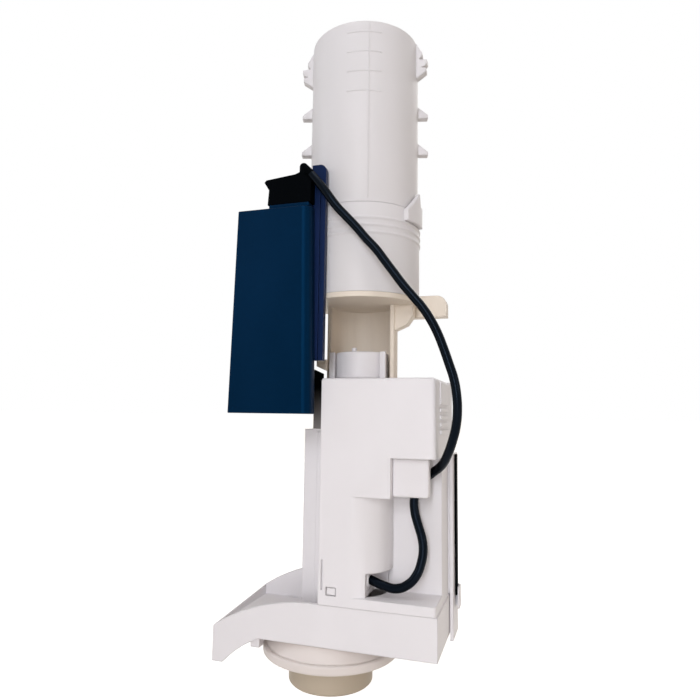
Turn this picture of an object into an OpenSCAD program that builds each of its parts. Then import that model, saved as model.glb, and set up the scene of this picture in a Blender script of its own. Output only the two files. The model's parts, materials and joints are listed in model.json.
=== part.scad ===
// Toilet flush valve for a concealed cistern, raised by a lift rod and timed by an air bell.
// Millimetres. Origin on the outlet axis at the underside of the flange.
// +X right, -Y front, +Z up.

/* [Outlet] */
// Outside diameter of the spigot that plugs into the flush pipe
spigot_d = 40; // [34:0.5:42]
// Length of the spigot below the flange
spigot_len = 14; // [8:0.5:30]
// Wall of the spigot
spigot_wall = 2.5; // [1.5:0.1:4]
// Bevel at the free end of the spigot
spigot_bevel = 1; // [0.5:0.1:1.4]
// Diameter of the flange
flange_d = 65; // [60:0.5:90]
// Thickness of the flange
flange_t = 4; // [2:0.1:5]
// Outside radius of the raised valve seat
seat_r = 22; // [21:0.5:23]
// Height of the raised valve seat above the flange
seat_h = 4; // [2:0.1:4.5]

/* [Tray] */
// Reach of the tray to the left of the outlet axis
tray_left = 48.4; // [44:0.1:52]
// Reach of the tray to the right of the outlet axis
tray_right = 55.7; // [55.4:0.1:60]
// Half of the tray depth
tray_half = 28; // [27:0.1:28.2]
// Underside of the tray
tray_low = 10.3; // [9:0.1:11]
// Top edge of the front wall
tray_top = 28.1; // [26:0.1:30]
// How much higher the rear wall stands
rear_raise = 4; // [1:0.1:8]
// Wall of the tray
tray_wall = 2; // [1.2:0.1:2.5]
// Upper face of the tray floor
floor_top = 13; // [12.5:0.1:13.5]
// Radius of the curve that the left end droops along
droop_r = 88; // [70:1:120]
// Level of the foot at the left end
foot_z = -2; // [-6:0.1:2]

/* [Housing] */
// Left face of the front cover
cover_left = 2.9; // [2.6:0.1:4]
// Right face of the front cover
cover_right = 55.1; // [54:0.1:55.4]
// Front face of the front cover
cover_front = -28.2; // [-30:0.1:-28]
// Top of the housing
cover_top = 127.8; // [122:0.1:129]
// Wall of the front cover
cover_wall = 1.8; // [1.2:0.1:2]
// Underside of the block above the hose guide
block_low = 92.6; // [91:0.1:94]
// Underside of the block above the round chamber
chamber_top = 75.2; // [73:0.1:76.5]
// Height of the ledge under the recess
ledge_top = 32.4; // [30:0.1:33]
// Radius of the round chamber
chamber_r = 16.3; // [15:0.1:17]
// Centre of the round chamber from the outlet axis
chamber_x = 16.5; // [15.5:0.1:17.5]
// Back wall of the recess beside the chamber
recess_y = -11; // [-13:0.1:-9]
// Gap between parts that meet
gap = 0.3; // [0.2:0.05:0.4]
// Left face of the rear housing
rear_left = -12; // [-14:0.1:-10]
// Front face of the left column of the rear housing
column_front = -10; // [-11:0.1:-9.5]
// Top of the wide part of the left column
column_top = 104; // [90:0.5:110]
// Left face of the rear housing above the wide column
upper_left = -7.8; // [-9:0.1:-5]
// Back face of the rear housing
rear_back = 24; // [22:0.1:25]
// Wall of the rear housing
rear_wall = 2; // [1.2:0.1:2.4]
// Thickness of the right side plate
side_t = 1.6; // [1:0.1:3]
// Top of the right side plate
side_top = 93; // [90:0.1:100]

/* [Sleeve and tube] */
// Distance of the tube axis from the outlet axis
tube_x = 13.8; // [13:0.1:14.6]
// Outside radius of the upper tube
tube_r = 27.5; // [24:0.1:32]
// Wall of the upper tube
tube_wall = 1.6; // [1:0.1:3]
// Rim of the upper tube
tube_top = 301.2; // [290:0.1:360]
// Turn of the upper tube in the sleeve
tube_turn = 15; // [5:1:25]
// Spacing of the teeth on the upper tube
tooth_pitch = 20; // [12:0.5:24]
// Spacing of the cut marks on the upper tube
mark_pitch = 10; // [5:0.5:15]
// How far the sleeve stands out from the upper tube
sleeve_step = 0.8; // [0.4:0.1:1.4]
// Wall of the sleeve
sleeve_wall = 1.7; // [1:0.1:2.5]
// Underside of the sleeve
sleeve_low = 165.2; // [158:0.1:167]
// Rim of the sleeve
sleeve_top = 210.2; // [207:0.1:215]
// Outside radius of the half-round yoke under the sleeve
yoke_half = 17.6; // [17:0.1:18.5]
// Wall of the yoke
yoke_t = 2; // [1.6:0.1:2.2]
// Front edges of the yoke
yoke_front = -4; // [-6:0.1:-2]

/* [Air bell] */
// Left side of the bell at its mouth
bell_left = -40.2; // [-46:0.1:-36]
// Right side of the bell at its mouth
bell_right = 0.6; // [-1:0.1:1.5]
// Depth of the bell in front of its rail
bell_depth = 6.5; // [6:0.1:12]
// Back of the bell beside the sleeve
bell_back = 5; // [0:0.5:10]
// Mouth of the bell
bell_low = 111.3; // [100:0.1:130]
// Top of the bell
bell_top = 207.4; // [206.5:0.1:212]
// Wall of the bell
bell_wall = 1.6; // [1:0.1:2.4]
// Thickness of the bell rail
rail_t = 3; // [2:0.1:5]
// Lower end of the bell rail
rail_low = 135.7; // [120:0.1:150]
// Upper end of the bell rail
rail_top = 229; // [220:0.1:240]

/* [Lift] */
// Radius of the lift head
head_r = 13.1; // [11:0.1:14]
// Top of the lift head
head_top = 141.6; // [137:0.1:150]
// Radius of the lift rod
rod_r = 3.5; // [2:0.1:5]
// Radius of the valve stem
stem_r = 5; // [3:0.1:5.8]
// Radius of the seal plate
plate_r = 23.5; // [22.5:0.1:24]
// Stroke of the lift
lift_stroke = 7; // [3:0.5:7]

/* [Pressure chamber] */
// Distance of the bellows axis to the front of the outlet axis
bellows_y = 17; // [16.5:0.1:17.2]
// Radius of the bellows
bellows_r = 8.8; // [7:0.1:9]
// Radius of the plunger stem
plunger_r = 2.5; // [1.5:0.1:3]
// Radius of the lever pin
pin_r = 1.5; // [1:0.1:2.5]
// Running clearance of the lever on its pin
pin_gap = 0.06; // [0.01:0.01:0.1]

/* [Hose] */
// Outside diameter of the air hose
hose_d = 4; // [3:0.1:5]

/* [Hidden] */
$fn = 64;
round_large = 96;
round_small = 32;
white = [0.90, 0.88, 0.87];
ivory = [0.86, 0.82, 0.74];
navy = [0.06, 0.15, 0.32];
black = [0.05, 0.05, 0.06];
grey = [0.30, 0.31, 0.33];
steel = [0.70, 0.71, 0.72];
bite = 0.5;
past = 1;

spigot_r = spigot_d / 2;
bore_r = spigot_r - spigot_wall;
seat_top = flange_t + seat_h;
socket_h = 2;
socket_fit = 0.1;
spigot_collar = 0.6;
skirt_low = flange_d / 2 - 1.5;
skirt_wall = 2;
spider_low = 4 - spigot_len;
spider_h = 6;
spider_wall = 3;
spider_fit = 0.1;
spider_arm = 2;

tray_tip = tray_top - droop_r + sqrt(droop_r * droop_r - tray_left * tray_left);
tray_end = 1;
tray_corner = 25.4;
foot_arc = [-2.7, -40.9];
foot_arc_r = 56;
plate_hole = plate_r + 1;
slit_x = -33;
slit_size = [5.2, 1.6];
tray_tab_x = -30;
tray_tab_w = 4.4;
tray_tab_drop = 4.6;

seal_t = 2.5;
seal_in = 15;
seal_fit = 1.5;
plate_low = seat_top + seal_t;
plate_t = 2.5;
plate_rib_h = 1;
plate_rib_t = 1.6;
hub_h = 6.5;
hub_wall = 2;
cross_low = 24;
cross_t = 5;
cross_w = 8;
under_housing = plate_low + plate_t + plate_rib_h + lift_stroke + 0.8;

chamber_y = cover_front + chamber_r;
cover_in = cover_left + cover_wall;
cover_out = cover_right - cover_wall;
cover_back = 14.1;
cover_back_low = 7.5;
inner_y = recess_y + 5;
guide_left = 35.5;
guide_low = 75.8;
guide_size = [16.1, 5, block_low - guide_low];
guide_y = -24.8;
guide_round = 1.5;
shelf_t = 2.5;
shelf_two = 70;
port_left = 24.1;
port_w = 12;
port_h = 10.1;
port_t = 1;
port_front = -24.2;
port_back_w = 6.7;
pad_t = 0.8;
pad_y = -17;
pad_depth = 25;
pad_low = 116.3;
pad_high = 126.3;
grip_low = 103;
grip_pitch = 3.3;
grip_t = 1.9;
head_tab_w = 2.8;
head_tab_back = 7.2;
head_tab_t = 2;
head_tab_in = sqrt(pow(head_r + gap, 2) - pow(head_tab_back, 2)) + 0.1;
latch_x = 6.9;
latch_w = 4.1;
latch_t = 1.5;
latch_nose = 3;
latch_window = 3.6;
cover_slit = [0.8, 12.8];
rear_foot_x = 12;
upper_wall = 1.6;
buffer_t = 1;
lip_t = 1.2;
panel_t = 0.6;
panel_left = -5.5;

can_low = ledge_top + shelf_t;
can_top = can_low + 8.1;
can_wall = 3.2;
can_flat = port_left - port_t - 0.2;
bellows_h = 16;
bellows_top = can_top + bellows_h;
fold = 2.5;
skin = 1.4;
disc_t = 2;
port_y = -20.6;
port_z = 39;
port_end = port_left + 0.5;
port_r = 2.9;
port_bore = 1.2;

pivot_y = -10.5;
pivot_z = 90;
tip_z = pivot_z - 3.5;
lever_left = 11.5;
lever_w = 8;
lever_r = 4;
lever_arm = 9.5;
lever_t = 2.5;
catch_h = 11.3;
catch_reach = 3.7;
lug_gap = 2;
lug_t = 2.5;
lug_low = pivot_z - 5;
lug_h = 9;
collar_low = pivot_z + 4;
collar_r = 6.5;
collar_t = 3;

side_in = tray_right + gap;
side_out = side_in + side_t;
side_low = tray_low - 3;
slot_y = 14.5;
slot_half = 1.5;
slot_low = 38;
slot_h = 44;
slider_t = 0.8;
slider_w = 5;
slider_low = 26.5;
slider_h = 66.2;
key_low = slot_low + 12;
key_h = slot_h - 24;
key_head = [1.5, 7];
keeper_low = 20.5;
keeper_h = 10;
keeper_t = 0.8;

sleeve_r = tube_r + sleeve_step;
sleeve_bore = sleeve_r - sleeve_wall;
yoke_top = sleeve_low + 2.5;
rod_hole = 3.3;
ridge_drop = 14.5;
ridge_pitch = 3.5;
ridge_t = 0.8;
ridge_reach = 0.4;
ear_low = sleeve_low - 5.2;
ear_h = 10.8;
ear_r = 5;
ear_t = 6;
ear_back = 12;
ear_in = yoke_half - 1.4;
ear_reach = sleeve_r + 13;
gusset_w = 8.7;
gusset_drop = 12.4;
gusset_bulge = [5.6, 10];
yoke_tab = 2.5;
tab_depth = 8;

tube_plug_r = sleeve_bore - gap - 0.1;
tube_low = sleeve_top - 20.2;
tube_base = sleeve_top + gap;
tube_shoulder = 3;
tooth_low = 244.6;
tooth_h = 7;
tooth_tip = 2;
tooth_reach = 5.2;
tooth_w = 4;
hook_w = 4;
hook_turns = [-15, 180];
mark_drop = 5.5;
mark_half = 8.5;
mark_t = 0.6;
mark_reach = 0.3;

rail_gap = 0.9;
rail_right = 3.9;
rail_left = -15.5;
rail_step = 1.5;
rail_neck = -3;
rail_round = 3;
rail_back = -sqrt(pow(sleeve_r + rail_gap, 2) - pow(tube_x - rail_right, 2));
rail_front = rail_back - rail_t;
groove_x = 1.2;
groove_w = 1;
groove_d = 0.8;
bell_front = rail_front - bell_depth;
bell_in = tube_x - sleeve_r - 3.5;
bell_draft = 2;
bell_collar_h = 2;
bell_collar_left = -22.7;
bell_collar_top = bell_top + bell_collar_h;
slide_x = -10;
slide_low = sleeve_low + 6.8;
slide_h = 34;
slide_half = 5;
slide_d = 14;
neck_half = 1.5;
tee_half = 3;
tee_y = rail_back + 3.4;
tee_t = 3.1;
spout_d = 5.5;
elbow = [-6, rail_front - 3.5, bell_collar_top + 17.6];
elbow_len = 5.5;

route = [
  elbow + elbow_len * [sqrt(0.5), 0, -sqrt(0.5)], [3, -34.5, 217], [7, -34.5, 211.5], [11, -34, 206],
  [15.5, -33.5, 201], [20, -33, 196], [24.5, -32.5, 190.5], [29, -32, 185.5], [33, -31.5, 180],
  [37, -31, 174.5], [41, -30.5, 169], [45.5, -30.5, 163.5], [50, -30.5, 158], [53.5, -30.5, 152.5],
  [56.5, -30.5, 146.5], [59, -30.5, 140], [61.2, -30.5, 133.5], [63.3, -30.5, 126.8], [64.4, -30.5, 120],
  [64.6, -30, 113.3], [63.9, -29.2, 107], [62.3, -27.7, 101.2], [60, -25, 95.5], [56.8, -21, 90.2],
  [52.2, -17.2, 86.4], [47, -15.6, 82.2], [43.7, -15.6, 75.5], [43.8, -16.5, 69.2], [45.5, -17.5, 63.6],
  [47.5, -18.8, 58.2], [48.2, -19.5, 53.5], [47.6, -20.5, 48.2], [45.6, -21.5, 42.8], [41.7, -22, 38.6],
  [36.6, -22, 36.6], [31, -21.4, 37.2], [port_end, port_y, port_z]
];
hose_sides = 10;

function unit(v) = v / norm(v);
function last(p) = len(p) - 1;
function tangent(p, i) = i == 0 ? unit([1, 0, -1]) : i == last(p) ? [-1, 0, 0] : unit(p[i + 1] - p[i - 1]);
function across(t) = unit(cross([0, 1, 0], t));
function ring(p, i, r, n) =
  let(t = tangent(p, i), a = across(t), b = cross(t, a))
  [for (k = [0 : n - 1]) p[i] + r * (cos(360 * k / n) * a + sin(360 * k / n) * b)];

// An outline in X and Z, given a depth in Y
module slab(back, depth) {
  translate([0, back, 0])
    rotate([90, 0, 0])
      linear_extrude(height = depth)
        children();
}

// Side outline of a tray wall
module tray_outline(raise) {
  difference() {
    intersection() {
      translate([-tray_left, foot_z])
        square([tray_left + tray_right, tray_top + raise - foot_z]);
      union() {
        translate([0, tray_top + raise - droop_r + 0.05])
          circle(r = droop_r, $fn = 180);
        translate([-past, foot_z - past])
          square([tray_right + 2 * past, tray_top + raise - foot_z + 2 * past]);
      }
    }
    translate([-tray_corner, foot_z - past])
      square([tray_corner + tray_right + past, tray_low - foot_z + past]);
    intersection() {
      translate(foot_arc)
        circle(r = foot_arc_r, $fn = 128);
      translate([-tray_left - past, foot_z - past])
        square([tray_left + past - tray_corner, tray_top]);
    }
  }
}

// Plan of the lower front cover, shrunk by a wall
module cover_plan(wall, back) {
  translate([cover_left + wall, cover_front + wall])
    square([chamber_x - cover_left - wall, back - cover_front - wall]);
  intersection() {
    translate([chamber_x, chamber_y])
      circle(r = chamber_r - wall);
    translate([chamber_x - 2, cover_front])
      square([chamber_r + 4, 2 * chamber_r]);
  }
  translate([chamber_x - 0.01, recess_y + wall])
    square([cover_right - chamber_x - wall, back - recess_y - wall]);
}

// Plan of the middle front cover, shrunk by a wall
module middle_plan(wall, back) {
  translate([cover_left + wall, cover_front + wall])
    square([guide_left - cover_left - 2 * wall, back - cover_front - wall]);
  translate([guide_left - wall - 0.01, recess_y + wall])
    square([cover_right - guide_left, back - recess_y - wall]);
}

// Tooth on the side of the upper tube
module tooth(z) {
  slab(tooth_w / 2, tooth_w)
    polygon([
      [tube_r - past, z], [tube_r + tooth_reach, z],
      [tube_r + tooth_reach, z + tooth_tip], [tube_r - past, z + tooth_h]
    ]);
}

// Hook near the rim of the upper tube: a ramp above two lobes
module hook() {
  slab(hook_w / 2, hook_w)
    translate([tube_r, tube_top])
      polygon([
        [-past, 0], [0, 0], [3, -5.4], [3, -7.2], [1.6, -8], [1.6, -8.8], [5.5, -9.4], [5.5, -11.4],
        [4.2, -12.8], [2.6, -13.2], [5, -13.8], [5, -15.8], [0, -19], [-past, -19]
      ]);
}

// Upright tab on top of the housing that steadies the lift head
module head_tab(left) {
  translate([tube_x + left, -head_tab_back - head_tab_t, cover_top - bite])
    cube([head_tab_w, head_tab_t, head_top - cover_top + bite]);
}

// Short pipe under the flange, with a collar let into the flange
module spigot() color(ivory) {
  difference() {
    union() {
      translate([0, 0, -spigot_len])
        cylinder(r1 = spigot_r - spigot_bevel, r2 = spigot_r, h = spigot_bevel);
      translate([0, 0, -spigot_len + spigot_bevel])
        cylinder(r = spigot_r, h = spigot_len - spigot_bevel);
      cylinder(r = spigot_r + spigot_collar, h = socket_h);
    }
    translate([0, 0, -spigot_len - past])
      cylinder(r = bore_r, h = spigot_len + socket_h + 2 * past);
  }
}

// Flange and raised seat of the valve
module outlet_seat() color(ivory) {
  difference() {
    union() {
      cylinder(d = flange_d, h = flange_t);
      cylinder(r = seat_r, h = seat_top);
    }
    translate([0, 0, -past])
      cylinder(r = bore_r, h = seat_top + 2 * past);
    translate([0, 0, -past])
      cylinder(r = spigot_r + spigot_collar + socket_fit, h = socket_h + past);
  }
}

// Cone on the flange that carries the tray
module tray_skirt() color(ivory) {
  skirt_h = tray_low - flange_t;
  translate([0, 0, flange_t])
    rotate_extrude()
      polygon([
        [skirt_low - skirt_wall, 0], [skirt_low, 0],
        [plate_hole + skirt_wall, skirt_h], [plate_hole, skirt_h]
      ]);
}

// Ring on three arms that keeps the valve stem upright in the outlet
module stem_guide() color(ivory) {
  translate([0, 0, spider_low])
    difference() {
      intersection() {
        union() {
          cylinder(r = stem_r + spider_wall, h = spider_h);
          for (turn = [90, 210, 330])
            rotate([0, 0, turn])
              translate([0, -spider_arm / 2, 0])
                cube([bore_r + past, spider_arm, spider_h]);
        }
        cylinder(r = bore_r - spider_fit, h = spider_h);
      }
      translate([0, 0, -past])
        cylinder(r = stem_r + gap, h = spider_h + 2 * past);
    }
}

// Trough under the housing, drooping to a foot at the left
module base_tray() color(white) {
  slab(-tray_half + tray_wall, tray_wall)
    tray_outline(0);
  slab(tray_half, tray_wall)
    tray_outline(rear_raise);
  translate([-tray_left, 0, 0])
    rotate([90, 0, 90])
      linear_extrude(height = tray_end)
        polygon([
          [-tray_half, foot_z], [tray_half, foot_z], [tray_half, tray_tip + rear_raise], [-tray_half, tray_tip]
        ]);
  translate([tray_right - tray_wall, -tray_half, tray_low])
    cube([tray_wall, 2 * tray_half, tray_top - tray_low]);
  difference() {
    translate([-tray_left + bite, -tray_half + past, tray_low])
      cube([tray_left + tray_right - bite - past, 2 * (tray_half - past), floor_top - tray_low]);
    translate([0, 0, tray_low - past])
      cylinder(r = plate_hole, h = floor_top - tray_low + 2 * past);
    translate([slit_x, tray_half - tray_wall - slit_size[1] - gap, tray_low - past])
      cube([slit_size[0], slit_size[1], floor_top - tray_low + 2 * past]);
  }
  translate([tray_tab_x, -tray_half + tray_wall, tray_low - tray_tab_drop])
    cube([tray_tab_w, tray_tab_w, tray_tab_drop + bite]);
}

// Left column, back and right side plate of the housing, with the keeper of the flow slider
module rear_housing() color(white) {
  column_h = column_top - under_housing;
  upper_h = cover_top - column_top + rear_wall;
  depth = rear_back - column_front;
  translate([rear_left, column_front, under_housing])
    cube([rear_wall, depth, column_h]);
  translate([rear_left, column_front, under_housing])
    cube([cover_left - gap - rear_left, rear_wall, column_h]);
  translate([rear_left, rear_back - rear_wall, under_housing])
    cube([cover_out - rear_left, rear_wall, column_h]);
  translate([rear_left, column_front, column_top - rear_wall])
    cube([upper_left - rear_left + rear_wall, depth, rear_wall]);
  translate([upper_left, column_front, column_top - rear_wall])
    cube([rear_wall, depth, upper_h]);
  translate([upper_left, column_front, column_top - rear_wall])
    cube([cover_left - gap - upper_left, rear_wall, upper_h]);
  translate([upper_left, rear_back - rear_wall, column_top - rear_wall])
    cube([cover_right - upper_left, rear_wall, upper_h]);
  translate([upper_left, column_front, cover_top - cover_wall])
    cube([cover_left - gap - upper_left, depth, cover_wall]);
  translate([upper_left, cover_back + gap, cover_top - cover_wall])
    cube([cover_right - upper_left, rear_back - cover_back - gap, cover_wall]);
  translate([rear_foot_x, rear_back - rear_wall, floor_top])
    cube([tray_right - tray_wall - gap - rear_foot_x, rear_wall, under_housing - floor_top + past]);
  translate([cover_out - bite, rear_back - rear_wall, tray_top + gap])
    cube([side_out - cover_out + bite, rear_wall, side_top - tray_top - gap]);
  translate([cover_out - bite, cover_back + gap, side_top - side_t])
    cube([side_out - cover_out + bite, rear_back - cover_back - gap, side_t]);
  translate([cover_right - upper_wall, cover_back + gap, side_top - bite])
    cube([upper_wall, rear_back - cover_back - gap, cover_top - side_top + bite]);
  difference() {
    translate([side_in, cover_back_low - bite, side_low])
      cube([side_t, rear_back - cover_back_low + bite, side_top - side_low]);
    translate([side_in - past, slot_y - slot_half, slot_low])
      cube([side_t + 2 * past, 2 * slot_half, slot_h]);
  }
  slider_room = 2 * gap + slider_t;
  translate([side_out - bite, slot_y + slider_w / 2 + gap, keeper_low])
    cube([bite + slider_room + keeper_t, keeper_t, keeper_h]);
  translate([side_out + slider_room, slot_y - slider_w / 2, keeper_low])
    cube([keeper_t, slider_w + gap + keeper_t, keeper_h]);
  head_tab(-head_tab_in - head_tab_w);
}

// Lip inside the right side plate, behind the back edge of the front cover
module side_lip() color(white) {
  translate([cover_out - bite, cover_back_low + gap, tray_top + gap])
    cube([side_in - cover_out + bite, lip_t, block_low - tray_top - 2 * gap]);
}

// Thin raised panel on the front of the left column
module column_panel() color(white) {
  translate([panel_left, column_front - panel_t, under_housing + past])
    cube([cover_left - gap - panel_left, panel_t, column_top - under_housing - 2 * past]);
}

// Rubber strip on the upper wall that quietens the bell
module bell_buffer() color(black) {
  translate([upper_left + gap, column_front - buffer_t, column_top + gap])
    cube([cover_left - upper_left - 3 * gap, buffer_t, cover_top - column_top - 2 * gap]);
}

// Front half of the housing: top block, round chamber, hose recess, and lugs for the lever pin
module front_cover() color(white) {
  difference() {
    union() {
      translate([cover_left, cover_front, block_low])
        cube([cover_right - cover_left, cover_back - cover_front, cover_top - block_low]);
      translate([0, 0, chamber_top])
        linear_extrude(height = block_low - chamber_top + 0.01)
          middle_plan(0, cover_back_low);
      translate([0, 0, tray_top])
        linear_extrude(height = chamber_top - tray_top + 0.01)
          cover_plan(0, cover_back_low);
      translate([cover_left, cover_front, tray_top])
        cube([cover_right - cover_left, cover_back_low - cover_front, ledge_top - tray_top]);
      translate([cover_right - bite, pad_y, pad_low])
        cube([bite + pad_t, pad_depth, pad_high - pad_low]);
      for (step = [0 : 3])
        translate([cover_right - bite, pad_y, grip_low + grip_pitch * step])
          cube([bite + pad_t, pad_depth, grip_t]);
    }
    translate([cover_in, cover_front + cover_wall, block_low + cover_wall])
      cube([cover_out - cover_in, cover_back - cover_front, cover_top - block_low - 2 * cover_wall]);
    translate([0, 0, chamber_top + cover_wall])
      linear_extrude(height = block_low - chamber_top + 0.1)
        middle_plan(cover_wall, cover_back);
    translate([0, 0, shelf_two + shelf_t])
      linear_extrude(height = chamber_top + cover_wall - shelf_two - shelf_t + 0.1)
        cover_plan(cover_wall, cover_back);
    translate([0, 0, can_low])
      linear_extrude(height = shelf_two - can_low)
        cover_plan(cover_wall, cover_back);
    translate([0, 0, tray_top - past])
      linear_extrude(height = ledge_top - tray_top + past)
        cover_plan(cover_wall, cover_back);
    translate([cover_in, inner_y, tray_top - past])
      cube([cover_out - cover_in, cover_back, chamber_top - tray_top]);
    translate([cover_left - past, column_front + rear_wall, tray_top - past])
      cube([cover_wall + 4, cover_back - column_front, cover_top - cover_wall - tray_top + past]);
    translate([cover_in, cover_front + cover_wall, tray_top - past])
      cube([latch_x + latch_w + past - cover_in, 5, latch_nose + shelf_t + 7]);
    translate([port_left, cover_front - past, ledge_top])
      cube([port_w, recess_y - cover_front + past - 0.1, port_h]);
    translate([latch_x - gap, cover_front - past, ledge_top])
      cube([latch_w + 2 * gap, cover_wall + 2 * past, latch_window]);
    translate([cover_left + 1.4, cover_front - past, ledge_top + 2.1])
      cube([cover_slit[0], 2 * past, cover_slit[1]]);
    translate([chamber_x, -bellows_y, shelf_two - past])
      cylinder(r = plunger_r + gap, h = shelf_t + 2 * past);
    translate([tube_x, 0, cover_top - cover_wall - past])
      cylinder(r = rod_r + gap, h = cover_wall + 2 * past);
  }
  for (left = [lever_left - lug_gap - lug_t, lever_left + lever_w + lug_gap])
    difference() {
      translate([left, cover_front + cover_wall - bite, lug_low])
        cube([lug_t, column_front + rear_wall - cover_front - cover_wall + bite, lug_h]);
      translate([left - past, pivot_y, pivot_z])
        rotate([0, 90, 0])
          cylinder(r = pin_r, h = lug_t + 2 * past, $fn = round_small);
    }
  head_tab(head_tab_in);
}

// Block on the side of the cover that the hose runs behind
module hose_guide() color(white) {
  slab(guide_y + guide_size[1], guide_size[1])
    translate([guide_left, guide_low]) {
      square([guide_size[0] - guide_round, guide_size[2]]);
      translate([0, guide_round])
        square([guide_size[0], guide_size[2] - guide_round]);
      translate([guide_size[0] - guide_round, guide_round])
        circle(r = guide_round, $fn = 48);
    }
}

// Spring tongue from the tray that snaps into the cover's window
module cover_latch() color(white) {
  translate([latch_x, -tray_half + tray_wall, floor_top + past])
    cube([latch_w, latch_t, ledge_top - floor_top + latch_window - 1.5]);
  translate([latch_x, cover_front + gap, ledge_top + gap])
    cube([latch_w, tray_wall - tray_half - cover_front, latch_nose]);
}

// Round socket of the upper tube, with the slide of the bell
module sleeve() color(white) {
  translate([tube_x, 0, 0])
    difference() {
      union() {
        translate([0, 0, yoke_top])
          cylinder(r = sleeve_r, h = sleeve_top - yoke_top, $fn = round_large);
        for (step = [0 : 2])
          translate([0, 0, sleeve_top - ridge_drop + ridge_pitch * step - ridge_t / 2])
            cylinder(r = sleeve_r + ridge_reach, h = ridge_t, $fn = round_large);
        translate([slide_x - tube_x - slide_half, rail_back + gap, slide_low])
          cube([2 * slide_half, slide_d, slide_h]);
      }
      translate([0, 0, yoke_top - past])
        cylinder(r = sleeve_bore, h = sleeve_top, $fn = round_large);
      translate([slide_x - tube_x - neck_half - gap, rail_back - bite, slide_low - past])
        cube([2 * (neck_half + gap), tee_y - rail_back + past, slide_h + 2 * past]);
      translate([slide_x - tube_x - tee_half - gap, tee_y - gap, slide_low - past])
        cube([2 * (tee_half + gap), tee_t + 2 * gap, slide_h + 2 * past]);
    }
}

// Bridge over the lift head: a round plate under the sleeve, a half-round wall, and an ear
module yoke() color(white) {
  translate([tube_x, 0, 0]) {
    difference() {
      union() {
        translate([0, 0, sleeve_low])
          cylinder(r = sleeve_r, h = yoke_top - sleeve_low, $fn = round_large);
        slab(ear_back, ear_t) {
          translate([ear_in, ear_low])
            square([ear_reach - ear_r - ear_in, ear_h]);
          translate([ear_reach - ear_r - bite, ear_low])
            square([ear_r + bite, ear_h - ear_r]);
          translate([ear_reach - ear_r, ear_low + ear_h - ear_r])
            circle(r = ear_r, $fn = 48);
        }
        slab(ear_t / 2, ear_t)
          polygon([
            [yoke_half - past, sleeve_low - gusset_drop], [yoke_half, sleeve_low - gusset_drop],
            [yoke_half + gusset_bulge[0], sleeve_low - gusset_bulge[1]],
            [yoke_half + gusset_w, ear_low - bite], [yoke_half + gusset_w, sleeve_low + bite],
            [yoke_half - past, sleeve_low + bite]
          ]);
        slab(yoke_front + past, tab_depth)
          translate([-yoke_half, cover_top])
            polygon([[-yoke_tab, 6.9], [yoke_tab, 4.7], [yoke_tab, 10.2], [-yoke_tab, 10.2]]);
        difference() {
          translate([0, 0, cover_top])
            cylinder(r = yoke_half, h = sleeve_low - cover_top + bite);
          translate([0, 0, cover_top - past])
            cylinder(r = yoke_half - yoke_t, h = sleeve_low - cover_top + past);
          translate([-yoke_half - past, yoke_front - 2 * yoke_half, cover_top - past])
            cube([2 * (yoke_half + past), 2 * yoke_half, sleeve_low - cover_top + past]);
        }
      }
      translate([0, 0, yoke_top])
        cylinder(r = sleeve_r, h = ear_h, $fn = round_large);
      translate([0, 0, sleeve_low - past])
        cylinder(r = rod_hole, h = yoke_top - sleeve_low + 2 * past, $fn = round_small);
    }
  }
}

// Ramp on the sleeve that the bayonet of the upper tube locks over
module tube_latch() color(white) {
  intersection() {
    translate([tube_x, 0, sleeve_top - 10])
      difference() {
        cylinder(r = sleeve_r + 2, h = 30, $fn = round_large);
        translate([0, 0, -past])
          cylinder(r = sleeve_r, h = 30 + 2 * past, $fn = round_large);
      }
    translate([tube_x + sleeve_r / 2, 0, sleeve_top])
      rotate([90, 0, 90])
        linear_extrude(height = sleeve_r)
          polygon([[-15, -6.7], [-15, -1.2], [-4.2, 9.8], [-2.6, 3.8], [1, 3.8], [1, -6.7]]);
  }
}

// Cup under the bellows, with a flat side and an air hole towards the hose
module pressure_can() color(white) {
  difference() {
    translate([chamber_x, -bellows_y, can_low])
      cylinder(r = bellows_r + 0.2, h = can_top - can_low);
    translate([chamber_x, -bellows_y, can_low + can_wall / 2])
      cylinder(r = bellows_r - can_wall, h = can_top);
    translate([can_flat, -bellows_y - bellows_r - past, can_low - past])
      cube([bellows_r, 2 * (bellows_r + past), can_top - can_low + 2 * past]);
    translate([chamber_x, port_y, port_z])
      rotate([0, 90, 0])
        cylinder(r = port_bore, h = bellows_r, $fn = round_small);
  }
}

// Walls of the hose notch, with the short nipple that the hose is pushed on
module hose_port() color(white) {
  port_top = ledge_top + port_h + 0.4;
  difference() {
    union() {
      translate([port_left - port_t, port_front, can_low])
        cube([port_t, recess_y + port_t - port_front, port_top - can_low]);
      translate([port_left - port_t, recess_y, can_low])
        cube([port_t + port_back_w, port_t, port_top - can_low]);
      translate([port_left - port_t / 2, port_y, port_z])
        rotate([0, 90, 0])
          cylinder(r = port_r, h = port_end - port_left + port_t / 2, $fn = round_small);
    }
    translate([port_left - port_t - past, port_y, port_z])
      rotate([0, 90, 0])
        cylinder(r = port_bore, h = port_t + 3 * past, $fn = round_small);
  }
}

// Rubber bellows that the air raises
module bellows() color(black) {
  inner = bellows_r - skin;
  translate([chamber_x, -bellows_y, can_top])
    rotate_extrude()
      difference() {
        polygon([
          [0, 0], [bellows_r, 0], [bellows_r, 2], [bellows_r - fold, 4], [bellows_r, 6.5], [bellows_r - fold, 9],
          [bellows_r, 11.5], [bellows_r - fold, 14], [bellows_r - fold, bellows_h], [0, bellows_h]
        ]);
        polygon([
          [-past, -past], [inner, -past], [inner, skin], [inner - fold, 4], [inner, 6.5], [inner - fold, 9],
          [inner, 11.5], [inner - fold, 14], [-past, 14]
        ]);
      }
}

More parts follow.
